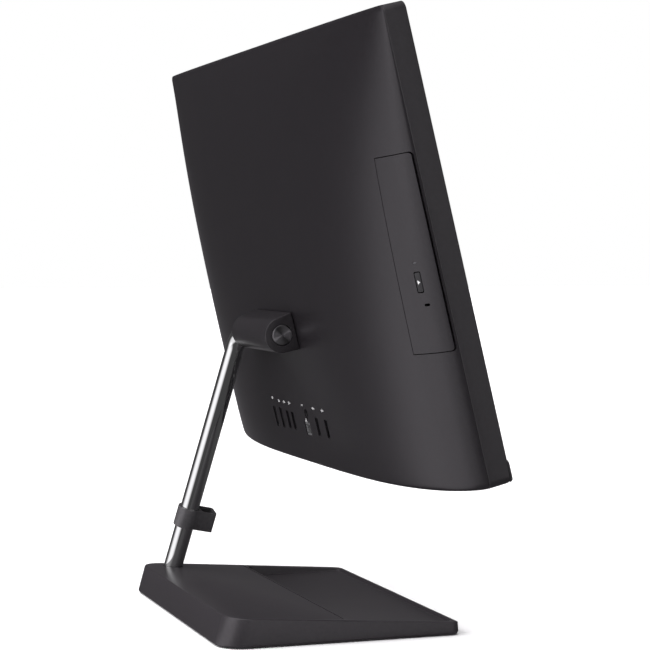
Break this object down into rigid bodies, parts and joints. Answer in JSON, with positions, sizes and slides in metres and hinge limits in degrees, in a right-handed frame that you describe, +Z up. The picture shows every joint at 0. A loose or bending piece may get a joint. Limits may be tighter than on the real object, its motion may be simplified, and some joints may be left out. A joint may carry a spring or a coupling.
{
  "type": "all in one computer",
  "caption": "All-in-one desktop computer: a wide screen with a pillow-shaped back, tilting on a bent chrome tube that rises from one rear corner of a low wedge base with a phone tray.",
  "frame": {"origin": "on the desk, at the centre of the base footprint, which is also the centre of the whole footprint", "axes": "+X to the user's right, -Y towards the user (the way the screen looks), +Z up"},
  "size_m": [0.5408, 0.185, 0.4472],
  "materials": {
    "case_plastic": "fine-grained satin, near black",
    "dark_plastic": "satin, black",
    "chrome": "polished",
    "steel": "plated sheet",
    "rubber": "matte",
    "board": "solder-masked laminate",
    "aluminium": "satin",
    "copper": "bright copper",
    "screen": "anti-glare black",
    "panel_stack": "metal-backed light guide stack"
  },
  "bodies": {
    "stand": {"base_shell": "case_plastic", "base_weight": "steel", "base_bottom_cover": "dark_plastic", "foot_front_left": "rubber", "foot_front_right": "rubber", "foot_rear_left": "rubber", "foot_rear_right": "rubber", "pole": "chrome", "pole_spigot": "steel", "axle_end_cap": "steel", "spring_washer": "steel", "axle_nut": "steel"},
    "display": {"rear_cover": "case_plastic", "front_frame": "case_plastic", "chin_bar": "case_plastic", "lcd_glass": "screen", "lcd_module": "panel_stack", "mid_frame": "steel", "camera_module": "board", "power_switch": "board", "hinge_housing": "case_plastic", "hinge_clamp": "steel", "hinge_bracket": "steel", "drive_case": "steel", "motherboard": "board", "hdmi_connector_1": "steel", "hdmi_connector_2": "steel", "usb_connector_1": "steel", "usb_connector_2": "steel", "usb_connector_3": "steel", "usb_connector_4": "steel", "network_jack": "steel", "power_jack": "dark_plastic", "memory_module_1": "board", "memory_module_2": "board", "solid_state_drive": "board", "wireless_card": "board", "coin_cell": "steel", "heat_spreader": "aluminium", "heat_pipe": "copper", "fin_stack": "aluminium", "fan_housing": "dark_plastic", "drive_caddy": "steel", "hard_drive": "aluminium", "speaker_left": "dark_plastic", "speaker_right": "dark_plastic", "antenna_left": "copper", "antenna_right": "copper"},
    "cable_clip_body": {"cable_clip": "dark_plastic"},
    "fan_rotor_body": {"fan_rotor": "dark_plastic"},
    "disc_tray_body": {"drive_tray": "dark_plastic", "drive_bezel": "case_plastic"},
    "disc_spindle_body": {"disc_spindle": "steel"},
    "laser_sled_body": {"laser_sled": "steel"},
    "eject_button_body": {"eject_button": "dark_plastic"},
    "power_button_body": {"power_button": "dark_plastic"},
    "camera_shutter_body": {"camera_shutter": "dark_plastic"}
  },
  "joints": [
    {"name": "display_tilt", "type": "hinge", "parent": "stand", "child": "display", "pos_m": [0, 0.0189, 0.2203], "axis": [1, 0, 0], "range_deg": [-1.1, 18.9]},
    {"name": "cable_clip_slide", "type": "slide", "parent": "stand", "child": "cable_clip_body", "axis": [-0.2403, -0.2065, 0.9485], "range_m": [-0.022, 0.03]},
    {"name": "disc_tray_slide", "type": "slide", "parent": "display", "child": "disc_tray_body", "axis": [-1, 0, 0], "range_m": [0, 0.13]},
    {"name": "disc_spindle_turn", "type": "hinge", "parent": "disc_tray_body", "child": "disc_spindle_body", "pos_m": [-0.172, -0.01012, 0.28327], "axis": [0, 0.9707, -0.2402], "continuous": true},
    {"name": "laser_sled_slide", "type": "slide", "parent": "disc_tray_body", "child": "laser_sled_body", "axis": [0, -0.2402, -0.9707], "range_m": [0, 0.03]},
    {"name": "eject_button_press", "type": "slide", "parent": "disc_tray_body", "child": "eject_button_body", "axis": [0.4484, -0.8677, 0.2147], "range_m": [0, 0.0008], "stiffness_N_per_m": 800, "springref_m": -0.0005},
    {"name": "power_button_press", "type": "slide", "parent": "display", "child": "power_button_body", "axis": [0, 0.2402, 0.9707], "range_m": [0, 0.0008], "stiffness_N_per_m": 1500, "springref_m": -0.0005},
    {"name": "camera_shutter_slide", "type": "slide", "parent": "display", "child": "camera_shutter_body", "axis": [-1, 0, 0], "range_m": [0, 0.0065]},
    {"name": "fan_turn", "type": "hinge", "parent": "display", "child": "fan_rotor_body", "pos_m": [0.145, -0.00814, 0.28921], "axis": [0, 0.9707, -0.2402], "continuous": true}
  ]
}
